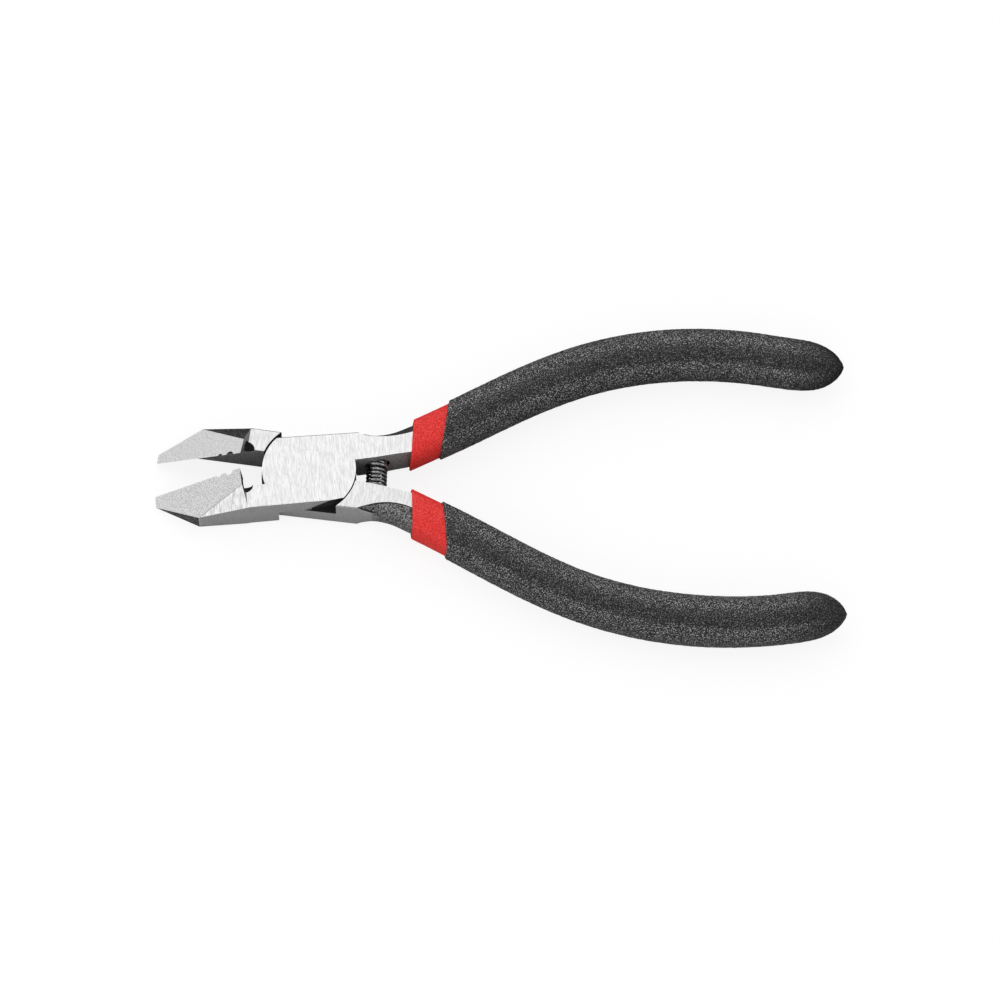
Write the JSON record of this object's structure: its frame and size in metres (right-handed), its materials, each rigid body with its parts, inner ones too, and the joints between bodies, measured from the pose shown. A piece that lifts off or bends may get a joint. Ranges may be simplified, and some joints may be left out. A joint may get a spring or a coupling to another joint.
{
  "type": "diagonal cutting pliers",
  "caption": "Spring-loaded lap-joint diagonal cutters with angled bevelled jaws, wire-stripping notches and two-layer dipped grips on bowed handles.",
  "frame": {"origin": "on the pivot axis, at the flat back face of the head", "axes": "+X from the pivot along the handles, the jaws on -X; +Z out of the front face, along the pivot axis; +Y to the left when the handles point away and the front face is up"},
  "size_m": [0.1597, 0.0792, 0.0144],
  "materials": {
    "tool_steel": "ground faces with fine cross grain, as-forged handle sides",
    "rivet_steel": "ground flush with the head",
    "spring_steel": "dark oiled wire",
    "red_vinyl": "matte dipped vinyl, fine grain",
    "black_vinyl": "matte dipped vinyl, pebbled grain"
  },
  "bodies": {
    "front_half": {"front_arm": "tool_steel", "pivot_rivet": "rivet_steel", "return_spring": "spring_steel", "front_inner_sleeve": "red_vinyl", "front_grip": "black_vinyl"},
    "rear_half": {"rear_arm": "tool_steel", "rear_inner_sleeve": "red_vinyl", "rear_grip": "black_vinyl"}
  },
  "joints": [
    {"name": "pivot", "type": "hinge", "parent": "front_half", "child": "rear_half", "pos_m": [0, 0, 0.0048], "axis": [0, 0, 1], "range_deg": [-11, 13.2], "stiffness_Nm_per_rad": 0.35, "deforming": ["return_spring"]}
  ]
}
